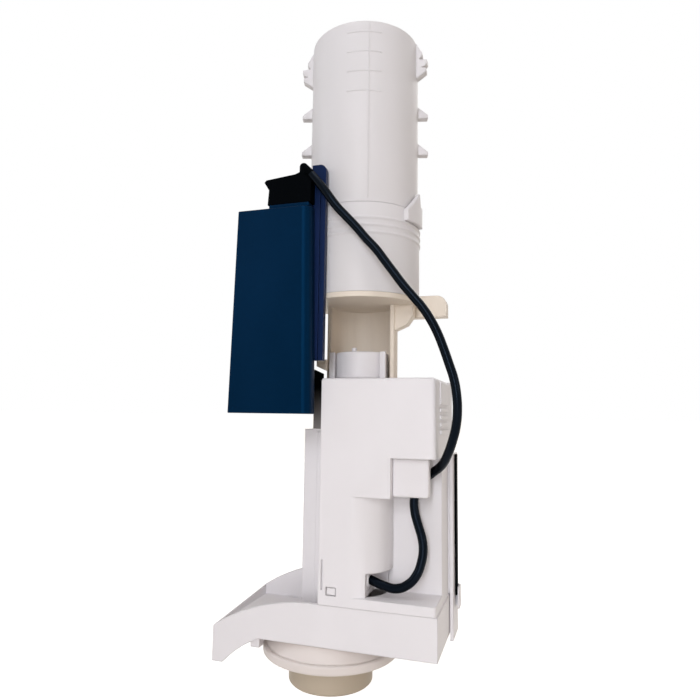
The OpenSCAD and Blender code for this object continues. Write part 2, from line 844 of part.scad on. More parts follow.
module lever_pin() color(steel) {
  translate([lever_left - lug_gap - lug_t - bite, pivot_y, pivot_z])
    rotate([0, 90, 0])
      cylinder(r = pin_r, h = lever_w + 2 * (lug_gap + lug_t + bite), $fn = round_small);
}

// Air hose from the spout of the bell to the nipple of the pressure can
module hose() color(black) {
  polyhedron(
    points = [for (i = [0 : last(route)]) each ring(route, i, hose_d / 2, hose_sides)],
    faces = concat(
      [[for (k = [hose_sides - 1 : -1 : 0]) k]],
      [for (i = [0 : last(route) - 1], k = [0 : hose_sides - 1])
        [i * hose_sides + k, i * hose_sides + (k + 1) % hose_sides,
         (i + 1) * hose_sides + (k + 1) % hose_sides, (i + 1) * hose_sides + k]],
      [[for (k = [0 : hose_sides - 1]) last(route) * hose_sides + k]]
    )
  );
}

// Guide tube with cut marks, two rows of teeth and two hooks, plugged into the sleeve
module upper_tube() color(white) {
  translate([tube_x, 0, 0])
    rotate([0, 0, tube_turn]) {
      difference() {
        union() {
          translate([0, 0, tube_base])
            cylinder(r = tube_r, h = tube_top - tube_base, $fn = round_large);
          translate([0, 0, tube_low])
            cylinder(r = tube_plug_r, h = tube_base - tube_low + past, $fn = round_large);
          for (side = [0, 180], row = [0, 1])
            rotate([0, 0, side])
              tooth(tooth_low + tooth_pitch * row);
          for (side = hook_turns)
            rotate([0, 0, side])
              hook();
          for (step = [0 : 3])
            intersection() {
              translate([0, 0, tube_top - mark_drop - mark_pitch * step - mark_t / 2])
                cylinder(r = tube_r + mark_reach, h = mark_t, $fn = round_large);
              translate([-mark_half, -tube_r - past, tube_top - mark_drop - mark_pitch * step - mark_t])
                cube([2 * mark_half, tube_r, 2 * mark_t]);
            }
        }
        translate([0, 0, tube_base + tube_shoulder])
          cylinder(r = tube_r - tube_wall, h = tube_top, $fn = round_large);
        translate([0, 0, tube_low - past])
          cylinder(r = tube_plug_r - tube_wall, h = tube_top, $fn = round_large);
      }
    }
}

// Round cap that is pulled up to flush
module lift_head() color(white) {
  head_low = cover_top + 0.8;
  head_wall = 1.8;
  boss_r = rod_r + 2.5;
  translate([tube_x, 0, 0])
    difference() {
      translate([0, 0, head_low])
        cylinder(r = head_r, h = head_top - head_low);
      difference() {
        translate([0, 0, head_low - past])
          cylinder(r = head_r - head_wall, h = head_top - head_low - past);
        translate([0, 0, head_low - 2 * past])
          cylinder(r = boss_r, h = head_top - head_low + 2 * past);
      }
      translate([0, 0, head_low - past])
        cylinder(r = rod_r, h = head_top - head_low - past);
    }
}

module head_pin() color(white) {
  translate([tube_x - 1.3, 4 - head_r, head_top])
    cylinder(r = 1.2, h = 2, $fn = round_small);
}

// Rod from the head to the crosshead
module lift_rod() color(white) {
  translate([tube_x, 0, cross_low + cross_t])
    cylinder(r = rod_r, h = head_top - 2 * past - cross_low - cross_t);
}

// Ring pressed on the lift rod, which the catch holds up
module rod_collar() color(white) {
  translate([tube_x, 0, collar_low])
    difference() {
      cylinder(r = collar_r, h = collar_t);
      translate([0, 0, -past])
        cylinder(r = rod_r, h = collar_t + 2 * past);
    }
}

// Link between the lift rod and the valve stem
module crosshead() color(white) {
  translate([tube_x, 0, cross_low])
    cylinder(r = rod_r + hub_wall, h = cross_t);
  translate([0, 0, cross_low])
    cylinder(r = stem_r + hub_wall, h = cross_t);
  translate([0, -cross_w / 2, cross_low])
    cube([tube_x, cross_w, cross_t]);
}

module valve_stem() color(white) {
  translate([0, 0, spider_low - 3])
    cylinder(r = stem_r, h = cross_low - spider_low + 3);
}

// Ribbed plate over the seal
module seal_plate() color(white) {
  difference() {
    translate([0, 0, plate_low]) {
      cylinder(r = plate_r, h = plate_t);
      cylinder(r = stem_r + hub_wall, h = hub_h);
      for (turn = [0 : 60 : 300])
        rotate([0, 0, turn])
          translate([stem_r + past, -plate_rib_t / 2, 0])
            cube([plate_r - stem_r - 3 * past, plate_rib_t, plate_t + plate_rib_h]);
    }
    cylinder(r = stem_r, h = cross_low);
  }
}

module seal_ring() color(black) {
  translate([0, 0, seat_top])
    difference() {
      cylinder(r = plate_r - bite, h = seal_t);
      translate([0, 0, -past])
        cylinder(r = seal_in, h = seal_t + 2 * past);
    }
}

// Clip that holds the seal up against its plate
module seal_clip() color(white) {
  difference() {
    translate([0, 0, seat_top - seal_fit]) {
      cylinder(r = min(seal_in + seal_fit, bore_r - past), h = seal_fit);
      cylinder(r = seal_in, h = seal_t + seal_fit);
    }
    cylinder(r = stem_r, h = cross_low);
  }
}

// Open-bottomed bell: a flat front with a deeper chamber behind its left half
module air_bell() color(navy) {
  difference() {
    union() {
      slab(rail_front, bell_depth)
        bell_outline(bell_right, bell_draft, 0);
      slab(bell_back, bell_back - rail_front + bite)
        bell_outline(bell_in, 0, 0);
    }
    slab(rail_front - bell_wall, bell_depth - 2 * bell_wall)
      bell_outline(bell_right, bell_draft, bell_wall);
    slab(bell_back - bell_wall, bell_back - bell_front - 2 * bell_wall)
      bell_outline(bell_in, 0, bell_wall);
  }
}

// Front outline of the bell, or of its hollow when a wall is taken off
module bell_outline(right, draft, wall) {
  mouth = wall > 0 ? bell_low - past : bell_low;
  polygon([
    [bell_left + wall, mouth], [right - wall, mouth],
    [right - draft - wall, bell_top - wall], [bell_left + bell_draft + wall, bell_top - wall]
  ]);
}

// Step on the bell under its air outlet
module bell_collar() color(navy) {
  translate([bell_collar_left, bell_front + past, bell_top])
    cube([bell_right - bell_draft - past - bell_collar_left, bell_depth - past, bell_collar_h]);
}

// Rail that joins the bell to the sleeve, with a T-shaped tongue
module bell_rail() color(navy) {
  difference() {
    slab(rail_back, rail_t) {
      translate([rail_left, rail_low])
        square([rail_step - rail_left, bell_top - rail_low]);
      translate([rail_neck, rail_low])
        square([rail_right - rail_neck, rail_top - rail_low - rail_round]);
      translate([rail_neck, rail_low])
        square([rail_right - rail_round - rail_neck, rail_top - rail_low]);
      translate([rail_right - rail_round, rail_top - rail_round])
        circle(r = rail_round, $fn = 48);
    }
    translate([groove_x, rail_front - past, rail_low - past])
      cube([groove_w, groove_d + past, rail_top - rail_low - 11]);
  }
  translate([slide_x - neck_half, rail_back - bite, slide_low])
    cube([2 * neck_half, tee_y - rail_back + 2 * bite, slide_h]);
  translate([slide_x - tee_half, tee_y, slide_low])
    cube([2 * tee_half, tee_t, slide_h]);
}

// Air outlet on top of the bell, with a bent nipple for the hose
module hose_spout() color(black) {
  slab(rail_front, spout_d)
    translate([0, bell_collar_top])
      polygon([
        [-23.3, 0], [-22.8, 7.3], [-25.3, 11.3], [-24.3, 12.4], [-9.5, 13.8],
        [-6.5, 14.9], [-3.8, 12], [-1.5, 9.2], [-1.5, 0]
      ]);
  translate([elbow[0], elbow[1], bell_collar_top + 10])
    cylinder(r = hose_d / 2, h = elbow[2] - bell_collar_top - 10, $fn = round_small);
  translate(elbow)
    sphere(r = hose_d / 2, $fn = round_small);
  translate(elbow)
    rotate([0, 135, 0])
      cylinder(r = hose_d / 2, h = elbow_len, $fn = round_small);
}

// Strip on the right side that sets the flow, keyed through the slot of the side plate
module flow_slider() color(black) {
  translate([side_out + gap, slot_y - slider_w / 2, slider_low])
    cube([slider_t, slider_w, slider_h]);
  translate([side_in - gap - key_head[0], slot_y - slot_half + gap, key_low])
    cube([side_t + 2 * gap + key_head[0] + slider_t / 2, 2 * (slot_half - gap), key_h]);
  translate([side_in - gap - key_head[0], slot_y - key_head[1] / 2, key_low])
    cube([key_head[0], key_head[1], key_h]);
}

// Disc and stem that the bellows push up against the lever
module plunger() color(white) {
  disc_top = bellows_top + disc_t;
  translate([chamber_x, -bellows_y, bellows_top])
    cylinder(r = bellows_r - gap, h = disc_t);
  translate([chamber_x, -bellows_y, disc_top - bite])
    cylinder(r = plunger_r, h = tip_z - plunger_r - disc_top + bite);
  translate([chamber_x, -bellows_y, tip_z - plunger_r])
    sphere(r = plunger_r, $fn = round_small);
}

// Lever with a hook that swings under the collar of the lift rod
module catch_lever() color(grey) {
  translate([lever_left, 0, 0])
    rotate([90, 0, 90])
      linear_extrude(height = lever_w)
        translate([pivot_y, pivot_z])
          difference() {
            union() {
              circle(r = lever_r, $fn = 48);
              translate([-lever_arm, tip_z - pivot_z + gap])
                square([lever_arm, lever_t + bite]);
              translate([-1.5, 0])
                square([lever_t, catch_h]);
              translate([-1.5, catch_h - lever_t])
                square([catch_reach, lever_t]);
            }
            circle(r = pin_r + pin_gap, $fn = 48);
          }
}

spigot();
outlet_seat();
tray_skirt();
stem_guide();
base_tray();
rear_housing();
side_lip();
column_panel();
bell_buffer();
front_cover();
hose_guide();
cover_latch();
yoke();
sleeve();
tube_latch();
pressure_can();
hose_port();
bellows();
lever_pin();
hose();
upper_tube();
lift_head();
head_pin();
lift_rod();
rod_collar();
crosshead();
valve_stem();
seal_plate();
seal_ring();
seal_clip();
air_bell();
bell_collar();
bell_rail();
hose_spout();
flow_slider();
plunger();
catch_lever();
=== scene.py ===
import json
import math

import bmesh
import bpy
from mathutils import Matrix, Vector


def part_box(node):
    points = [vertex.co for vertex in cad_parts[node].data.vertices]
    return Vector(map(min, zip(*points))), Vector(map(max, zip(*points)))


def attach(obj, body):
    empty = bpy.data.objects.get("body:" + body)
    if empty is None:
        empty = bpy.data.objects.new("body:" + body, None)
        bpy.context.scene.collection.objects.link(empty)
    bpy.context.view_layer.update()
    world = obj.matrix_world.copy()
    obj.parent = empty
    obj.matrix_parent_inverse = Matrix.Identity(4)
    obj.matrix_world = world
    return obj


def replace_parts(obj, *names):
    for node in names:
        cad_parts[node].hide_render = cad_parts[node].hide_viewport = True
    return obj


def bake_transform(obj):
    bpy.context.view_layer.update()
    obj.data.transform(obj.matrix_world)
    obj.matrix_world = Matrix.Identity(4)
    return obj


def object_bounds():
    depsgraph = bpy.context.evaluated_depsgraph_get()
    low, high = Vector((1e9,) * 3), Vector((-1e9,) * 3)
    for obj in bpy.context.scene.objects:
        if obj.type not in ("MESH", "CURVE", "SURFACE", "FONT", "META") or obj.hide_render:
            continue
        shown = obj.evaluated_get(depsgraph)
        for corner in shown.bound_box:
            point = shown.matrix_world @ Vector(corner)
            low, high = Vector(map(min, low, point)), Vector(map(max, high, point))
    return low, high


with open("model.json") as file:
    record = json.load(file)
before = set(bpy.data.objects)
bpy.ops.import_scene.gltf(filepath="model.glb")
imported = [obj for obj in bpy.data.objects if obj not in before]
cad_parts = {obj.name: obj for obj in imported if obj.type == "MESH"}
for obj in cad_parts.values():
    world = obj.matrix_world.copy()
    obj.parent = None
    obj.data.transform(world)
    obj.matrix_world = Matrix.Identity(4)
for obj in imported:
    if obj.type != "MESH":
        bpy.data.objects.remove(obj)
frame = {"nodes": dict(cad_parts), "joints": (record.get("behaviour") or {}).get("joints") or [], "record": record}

cad_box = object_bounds()
scene = bpy.context.scene
scene.view_settings.view_transform = "Standard"
nodes = frame["nodes"]
bodies = frame["record"]["behaviour"]["bodies"]
body_of_node = {node: body for body, members in bodies.items() for node in members}
slot_of_node = {part["node"]: part["material_slot"] for part in frame["record"]["subparts"]}

# Forms are drawn in millimetres and become metres when they are put in place
mm = 0.001
same_spot = 1e-5
full_turn = 2 * math.pi


def span(node, axis):
    """Lowest and highest place of a CAD part along x, y or z, in millimetres."""
    low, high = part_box(node)
    index = "xyz".index(axis)
    return round(low[index] / mm, 1), round(high[index] / mm, 1)


# Sizes that the tube, sleeve, yoke and hose share, in millimetres
tube_joint = next(joint for joint in frame["joints"] if joint["name"] == "tube_twist")
tube_x = round(tube_joint["pos_m"][0] / mm, 1)
tube_r = 27.5
sleeve_r = 28.3
sleeve_bore = 26.6

# Camera at the photograph's place, in pixels, millimetres of sensor, metres and angles
photo_width = 700
focal_pixels = 581.02
sensor_width = 36
camera_spot = (0.09533, -0.27788, 0.11127)
camera_turn = math.radians(17.57)
camera_tilt = math.radians(6.35)
camera_roll = math.radians(0.82)


def photo_camera():
    """The camera as fitted to the round rims and straight edges in the photograph."""
    level_right = Vector((math.cos(camera_turn), math.sin(camera_turn), 0))
    level_ahead = Vector((-math.sin(camera_turn), math.cos(camera_turn), 0))
    ahead = level_ahead * math.cos(camera_tilt) + Vector((0, 0, math.sin(camera_tilt)))
    tilted_up = Vector((0, 0, math.cos(camera_tilt))) - level_ahead * math.sin(camera_tilt)
    right = level_right * math.cos(camera_roll) + tilted_up * math.sin(camera_roll)
    up = tilted_up * math.cos(camera_roll) - level_right * math.sin(camera_roll)
    data = bpy.data.cameras.new("photo_camera")
    data.sensor_fit = "HORIZONTAL"
    data.sensor_width = sensor_width
    data.lens = focal_pixels / photo_width * sensor_width
    data.clip_start = 0.01
    camera = bpy.data.objects.new("photo_camera", data)
    scene.collection.objects.link(camera)
    pose = Matrix((right, up, -ahead)).transposed().to_4x4()
    pose.translation = Vector(camera_spot)
    camera.matrix_world = pose
    scene.camera = camera


photo_camera()


# Finishes: colours are sRGB bytes, and edges and the height of the grain are in metres
flow_stretch = (1.0, 1.0, 0.45)
flow_scale = 24.0
grain_height = 0.0001


def colour(hexa):
    """A colour for a socket, from its six hexadecimal digits."""
    parts = [int(hexa[i:i + 2], 16) / 255 for i in (0, 2, 4)]
    return tuple(p / 12.92 if p < 0.04045 else ((p + 0.055) / 1.055) ** 2.4 for p in parts) + (1.0,)


def moulded(name, low, high, rough, grain, grain_depth, shine=0.5, tint=(1, 1, 1), spread=0.05, edge=0.0004):
    """Moulded plastic or rubber: faint flow tone, uneven gloss, fine grain and softened edges."""
    mat = bpy.data.materials.new(name)
    mat.use_nodes = True
    tree = mat.node_tree
    link = tree.links.new
    shader = tree.nodes["Principled BSDF"]
    place = tree.nodes.new("ShaderNodeTexCoord")
    flow = tree.nodes.new("ShaderNodeMapping")
    flow.inputs["Scale"].default_value = flow_stretch
    drift = tree.nodes.new("ShaderNodeTexNoise")
    drift.inputs["Scale"].default_value = flow_scale
    drift.inputs["Detail"].default_value = 3.0
    tone = tree.nodes.new("ShaderNodeValToRGB")
    tone.color_ramp.elements[0].position = 0.3
    tone.color_ramp.elements[1].position = 0.7
    tone.color_ramp.elements[0].color = colour(low)
    tone.color_ramp.elements[1].color = colour(high)
    fine = tree.nodes.new("ShaderNodeTexNoise")
    fine.inputs["Scale"].default_value = grain
    fine.inputs["Detail"].default_value = 2.0
    gloss = tree.nodes.new("ShaderNodeMapRange")
    gloss.inputs["To Min"].default_value = rough - spread
    gloss.inputs["To Max"].default_value = rough + spread
    soft_edge = tree.nodes.new("ShaderNodeBevel")
    soft_edge.samples = 4
    soft_edge.inputs["Radius"].default_value = edge
    bump = tree.nodes.new("ShaderNodeBump")
    bump.inputs["Strength"].default_value = grain_depth
    bump.inputs["Distance"].default_value = grain_height
    link(place.outputs["Object"], flow.inputs["Vector"])
    link(flow.outputs["Vector"], drift.inputs["Vector"])
    link(place.outputs["Object"], fine.inputs["Vector"])
    link(drift.outputs["Fac"], tone.inputs["Fac"])
    link(tone.outputs["Color"], shader.inputs["Base Color"])
    link(drift.outputs["Fac"], gloss.inputs["Value"])
    link(gloss.outputs["Result"], shader.inputs["Roughness"])
    link(fine.outputs["Fac"], bump.inputs["Height"])
    link(soft_edge.outputs["Normal"], bump.inputs["Normal"])
    link(bump.outputs["Normal"], shader.inputs["Normal"])
    shader.inputs["Specular IOR Level"].default_value = shine
    shader.inputs["Specular Tint"].default_value = tint + (1,)
    return mat


def pale(name, low, high, rough, edge=0.0008):
    """White or ivory plastic with a soft shine and broad soft edges."""
    return moulded(name, low, high, rough, 900.0, 0.10, shine=0.25, edge=edge)


def pin_steel():
    """Drawn steel of the pin."""
    mat = moulded("drawn_pin_steel", "a8abb0", "c2c4c8", 0.30, 3000.0, 0.10)
    mat.node_tree.nodes["Principled BSDF"].inputs["Metallic"].default_value = 1.0
    return mat


def painted_shade_strip():
    """Black stand-in for the bell's shadow with painted shade: near black at the top, fading to a painted light
    grey lower down.
    """
    # Painted shade: black above the top height, grey below the bottom height, in metres
    painted_fade_bottom = 0.104
    painted_fade_top = 0.124
    painted_lit_grey = colour("8f8b8a")
    mat = moulded("painted_shade_strip", "040404", "090808", 0.60, 1500.0, 0.30, shine=0.05)
    tree = mat.node_tree
    shader = tree.nodes["Principled BSDF"]
    place = next(n for n in tree.nodes if n.type == "TEX_COORD")
    tone = next(n for n in tree.nodes if n.type == "VALTORGB")
    split = tree.nodes.new("ShaderNodeSeparateXYZ")
    fade = tree.nodes.new("ShaderNodeMapRange")
    fade.inputs["From Min"].default_value = painted_fade_top
    fade.inputs["From Max"].default_value = painted_fade_bottom
    mix = tree.nodes.new("ShaderNodeMix")
    mix.data_type = "RGBA"
    mix.inputs["B"].default_value = painted_lit_grey
    tree.links.new(place.outputs["Object"], split.inputs["Vector"])
    tree.links.new(split.outputs["Z"], fade.inputs["Value"])
    tree.links.new(fade.outputs["Result"], mix.inputs["Factor"])
    tree.links.new(tone.outputs["Color"], mix.inputs["A"])
    tree.links.new(mix.outputs["Result"], shader.inputs["Base Color"])
    return mat


# Finishes of the record's material slots
slot_finishes = {
    "white_plastic": pale("white_moulding", "e4e1e3", "e9e6e8", 0.42),
    "ivory_plastic": pale("ivory_moulding", "dcd3ce", "e2dad5", 0.44),
    "navy_plastic": moulded("navy_moulding", "01182e", "041f39", 0.36, 2600.0, 0.35, shine=0.14,
                            tint=(0.03, 0.35, 0.9)),
    "black_plastic": moulded("black_moulding", "010304", "040508", 0.55, 1800.0, 0.25, shine=0.01),
    "black_rubber": moulded("black_hose_rubber", "010204", "03060b", 0.22, 1200.0, 0.03, shine=0.10,
                            tint=(0.5, 0.7, 1.0), spread=0.03),
    "grey_plastic": moulded("grey_moulding", "54565a", "606268", 0.50, 1200.0, 0.15),
    "steel": pin_steel(),
}

# Finishes of single parts that look different from the rest of their slot; each carries painted light or shade
# The tube, sleeve and tube latch are the white plastic painted a shade darker: painted shade
tube_painted_shade = pale("tube_painted_shade", "d7d5d6", "dcd9db", 0.42)
part_finishes = {
    # The spigot is the white plastic painted tan: painted warm shade
    "spigot": pale("spigot_painted_shade", "bbad99", "c4b7a4", 0.46, edge=0.0006),
    "upper_tube": tube_painted_shade,
    "sleeve": tube_painted_shade,
    "tube_latch": tube_painted_shade,
    # The rail is the bell's navy painted lighter and more purple: painted light on its face
    "bell_rail": moulded("rail_navy_painted_light", "0a1a36", "14244a", 0.34, 2600.0, 0.30, shine=0.2,
                         tint=(0.3, 0.4, 0.9)),
    # The yoke is the white plastic painted warmer and a little darker: painted warm shade in its window
    "yoke": pale("yoke_painted_warm_shade", "e1d6c7", "e8ddcf", 0.46),
    # The strip beside the bell carries painted shade, black at the top fading to grey downwards
    "bell_buffer": painted_shade_strip(),
}


def dress(piece, node):
    """Give a piece the finish of its part, or else of the part's material slot."""
    piece.data.materials.clear()
    piece.data.materials.append(part_finishes.get(node) or slot_finishes[slot_of_node[node]])


for node, solid in nodes.items():
    dress(solid, node)


# Making forms
def new_object(name, form):
    """Turn a finished form into an object of the scene."""
    mesh = bpy.data.meshes.new(name)
    form.to_mesh(mesh)
    form.free()
    piece = bpy.data.objects.new(name, mesh)
    scene.collection.objects.link(piece)
    return piece


def stand_in(form, name, node, crease):
    """Make a finished form the visible shape of a CAD part, smooth up to a crease angle in degrees."""
    piece = new_object(name, form)
    for face in piece.data.polygons:
        face.use_smooth = True
    piece.data.set_sharp_from_angle(angle=math.radians(crease))
    dress(piece, node)
    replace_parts(piece, node)
    return piece


def put_in_place(form, offset):
    """Move a form that is drawn in millimetres to its place, and make it metres."""
    bmesh.ops.translate(form, verts=form.verts, vec=offset)
    bmesh.ops.scale(form, verts=form.verts, vec=(mm, mm, mm))


def round_edges(form, edges, width, steps):
    """Round some edges of a form."""
    bmesh.ops.bevel(form, geom=edges, offset=width, segments=steps, profile=0.5, affect="EDGES", material=-1,
                    clamp_overlap=True)


def lathe(form, outline, steps, angle=full_turn):
    """Spin a closed outline of radii and heights about the upright axis."""
    ring = [form.verts.new((r, 0, z)) for r, z in outline]
    whole = angle >= full_turn
    if whole:
        start = ring + [form.edges.new(pair) for pair in zip(ring, ring[1:] + ring[:1])]
    else:
        start = [form.faces.new(ring)]
    bmesh.ops.spin(form, geom=start, cent=(0, 0, 0), axis=(0, 0, 1), dvec=(0, 0, 0), angle=angle, steps=steps,
                   use_merge=whole, use_duplicate=False)


def turned_wall(form, outline, steps, sharpest, width):
    """A full turned wall, with the rims rounded that are sharper than an angle in radians."""
    lathe(form, outline, steps)
    bmesh.ops.remove_doubles(form, verts=form.verts, dist=same_spot)
    rims = [e for e in form.edges if len(e.link_faces) == 2 and e.calc_face_angle(0) > sharpest]
    round_edges(form, rims, width, steps=3)


def raise_outline(form, points, lift, edge):
    """Raise a flat outline along a vector, and round all edges."""
    face = form.faces.new([form.verts.new(point) for point in points])
    raised = bmesh.ops.extrude_face_region(form, geom=[face])["geom"]
    lifted = [g for g in raised if isinstance(g, bmesh.types.BMVert)]
    bmesh.ops.translate(form, verts=lifted, vec=lift)
    bmesh.ops.recalc_face_normals(form, faces=form.faces)
    round_edges(form, form.edges, edge, steps=2)


def upright_block(form, outline, width, edge):
    """A block from an outline across and up, with its width from back to front."""
    raise_outline(form, [(across, width / 2, z) for across, z in outline], (0, -width, 0), edge)


def add_turned(target, make, turn):
    """Put a small form that make draws into a larger one, turned about the upright axis by degrees."""
    small = bmesh.new()
    make(small)
    bmesh.ops.remove_doubles(small, verts=small.verts, dist=same_spot)
    bmesh.ops.recalc_face_normals(small, faces=small.faces)
    about_axis = Matrix.Rotation(math.radians(turn), 3, "Z")
    bmesh.ops.rotate(small, verts=small.verts, cent=(0, 0, 0), matrix=about_axis)
    mesh = bpy.data.meshes.new("small_form")
    small.to_mesh(mesh)
    small.free()
    target.from_mesh(mesh)
    bpy.data.meshes.remove(mesh)


def plate(name, outline, front, back, node, edge):
    """A small upright plate with the finish and body of a CAD part."""
    form = bmesh.new()
    upright_block(form, outline, back - front, edge)
    put_in_place(form, (0, (front + back) / 2, 0))
    piece = new_object(name, form)
    dress(piece, node)
    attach(piece, body_of_node[node])
    return piece


# The air hose: the same route as its solid, in millimetres, from the spout's bend to the notch in the cover
hose_d = 4
rail_gap = 0.9
rail_right = 3.9
rail_thick = 3
rail_front = -math.sqrt((sleeve_r + rail_gap) ** 2 - (tube_x - rail_right) ** 2) - rail_thick
elbow = Vector((-6, rail_front - 3.5, 227))
elbow_length = 5.5
spout_end = elbow + elbow_length * Vector((math.sqrt(0.5), 0, -math.sqrt(0.5)))
route = [
    tuple(spout_end), (3, -34.5, 217), (7, -34.5, 211.5), (11, -34, 206),
    (15.5, -33.5, 201), (20, -33, 196), (24.5, -32.5, 190.5), (29, -32, 185.5), (33, -31.5, 180),
    (37, -31, 174.5), (41, -30.5, 169), (45.5, -30.5, 163.5), (50, -30.5, 158), (53.5, -30.5, 152.5),
    (56.5, -30.5, 146.5), (59, -30.5, 140), (61.2, -30.5, 133.5), (63.3, -30.5, 126.8), (64.4, -30.5, 120),
    (64.6, -30, 113.3), (63.9, -29.2, 107), (62.3, -27.7, 101.2), (60, -25, 95.5), (56.8, -21, 90.2),
    (52.2, -17.2, 86.4), (47, -15.6, 82.2), (43.7, -15.6, 75.5), (43.8, -16.5, 69.2), (45.5, -17.5, 63.6),
    (47.5, -18.8, 58.2), (48.2, -19.5, 53.5), (47.6, -20.5, 48.2), (45.6, -21.5, 42.8), (41.7, -22, 38.6),
    (36.6, -22, 36.6), (31, -21.4, 37.2), (24.6, -20.6, 39),
]


def air_hose():
    """The hose along its route, from the spout's bend to the notch in the cover."""
    path = [tuple(c / 1000 for c in point) for point in route]
    # From here on the hose stays where it is when the bell moves
    line = bpy.data.curves.new("air_hose_line", "CURVE")
    line.dimensions = "3D"
    line.bevel_depth = hose_d / 2 * mm
    line.bevel_resolution = 6
    line.resolution_u = 6
    line.use_fill_caps = True
    spline = line.splines.new("BEZIER")
    spline.bezier_points.add(len(path) - 1)
    for knot, spot in zip(spline.bezier_points, path):
        knot.co = spot
        knot.handle_left_type = "AUTO"
        knot.handle_right_type = "AUTO"
    curve = bpy.data.objects.new("air_hose_line", line)
    scene.collection.objects.link(curve)
    bpy.context.view_layer.update()
    mesh = bpy.data.meshes.new_from_object(curve.evaluated_get(bpy.context.evaluated_depsgraph_get()))
    bpy.data.objects.remove(curve)
    for face in mesh.polygons:
        face.use_smooth = True
    hose = bpy.data.objects.new("air_hose", mesh)
    scene.collection.objects.link(hose)
    dress(hose, "hose")
    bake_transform(hose)
    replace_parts(hose, "hose")


def guide_tube():
    """The upper tube: turned wall, mould seam, four cut marks, two pairs of teeth and two hooks."""
    plug_low, rim = span("upper_tube", "z")
    rim_gap = 0.3
    base = span("sleeve", "z")[1] + rim_gap
    shoulder = base + 3
    wall_thick = 1.6
    plug_gap = 0.4
    plug_r = sleeve_bore - plug_gap
    sunk = 0.4
    # Turns and arcs are degrees about the tube's axis
    tube_turn = 15
    behind = 180
    seam_turn = -70.5
    seam_arc = 0.7
    seam_reach = 0.05
    mark_turn = -75
    mark_arc = 35.6
    mark_drop = 5.5
    mark_pitch = 10
    tooth_low = 244.6
    tooth_pitch = 20
    tooth_reach = 5.2
    tooth_tip = 2
    tooth_height = 7
    tooth_width = 4
    hook_width = 4

    def wall(small):
        bore = tube_r - wall_thick
        plug_bore = plug_r - wall_thick
        outside = ((plug_r, plug_low), (plug_r, base), (tube_r, base), (tube_r, rim))
        inside = ((bore, rim), (bore, shoulder), (plug_bore, shoulder), (plug_bore, plug_low))
        turned_wall(small, outside + inside, steps=144, sharpest=0.6, width=0.4)

    def seam(small):
        low = base + 2
        high = rim - 1
        outline = ((-sunk, low), (seam_reach, low), (seam_reach, high), (-sunk, high))
        lathe(small, [(tube_r + r, z) for r, z in outline], steps=2, angle=math.radians(seam_arc))

    def mark(height):
        lower_half = ((-sunk, -0.3), (0.04, -0.3), (0.16, -0.1))
        upper_half = tuple((r, -z) for r, z in reversed(lower_half))
        outline = [(tube_r + r, height + z) for r, z in lower_half + upper_half]
        return lambda small: lathe(small, outline, steps=24, angle=math.radians(mark_arc))

    def tooth(height):
        root = tube_r - 1
        tip = tube_r + tooth_reach
        outline = ((root, height), (tip, height), (tip, height + tooth_tip), (root, height + tooth_height))
        return lambda small: upright_block(small, outline, tooth_width, edge=0.45)

    def hook(small):
        steps = ((-1, 0), (0, 0), (3, -5.4), (3, -7.2), (1.6, -8), (1.6, -8.8), (5.5, -9.4), (5.5, -11.4),
                 (4.2, -12.8), (2.6, -13.2), (5, -13.8), (5, -15.8), (0, -19), (-1, -19))
        upright_block(small, [(tube_r + r, rim + z) for r, z in steps], hook_width, edge=0.25)

    form = bmesh.new()
    add_turned(form, wall, 0)
    add_turned(form, seam, seam_turn)
    for row in range(4):
        add_turned(form, mark(rim - mark_drop - mark_pitch * row), mark_turn - mark_arc / 2)
    for row in range(2):
        add_turned(form, tooth(tooth_low + tooth_pitch * row), tube_turn)
        add_turned(form, tooth(tooth_low + tooth_pitch * row), tube_turn + behind)
    add_turned(form, hook, 0)
    add_turned(form, hook, tube_turn + behind)
    put_in_place(form, (tube_x, 0, 0))
    piece = stand_in(form, "guide_tube", "upper_tube", crease=35)
    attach(piece, "guide_tube")


def rubber_bellows():
    """Soft folds between the pressure cup and the plunger's disc."""
    left, right = span("bellows", "x")
    front, back = span("bellows", "y")
    low, top = span("bellows", "z")
    middle_x = (left + right) / 2
    middle_y = (front + back) / 2
    outer = (right - left) / 2
    inner = 6.3
    skin = 1.2
    neck = 1
    folds = 3
    steps = 48
    foot_steps = 2
    crown_steps = 4
    outside = []
    for step in range(steps + 1):
        height = low + (top - low) * step / steps
        wave = 0.5 + 0.5 * math.cos(full_turn * folds * step / steps)
        outside.append((inner + (outer - inner) * wave, height))
    hollow = [(r - skin, z) for r, z in outside[foot_steps:-crown_steps]]
    hollow_foot = hollow[0][0]
    hollow_top = hollow[-1][1]
    crown = [(neck, top), (neck, top - skin), (neck, hollow_top)]
    form = bmesh.new()
    lathe(form, outside + crown + hollow[::-1] + [(hollow_foot, low)], steps=64)
    bmesh.ops.remove_doubles(form, verts=form.verts, dist=same_spot)
    bmesh.ops.recalc_face_normals(form, faces=form.faces)
    put_in_place(form, (middle_x, middle_y, 0))
    piece = stand_in(form, "rubber_bellows", "bellows", crease=40)
    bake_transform(piece)


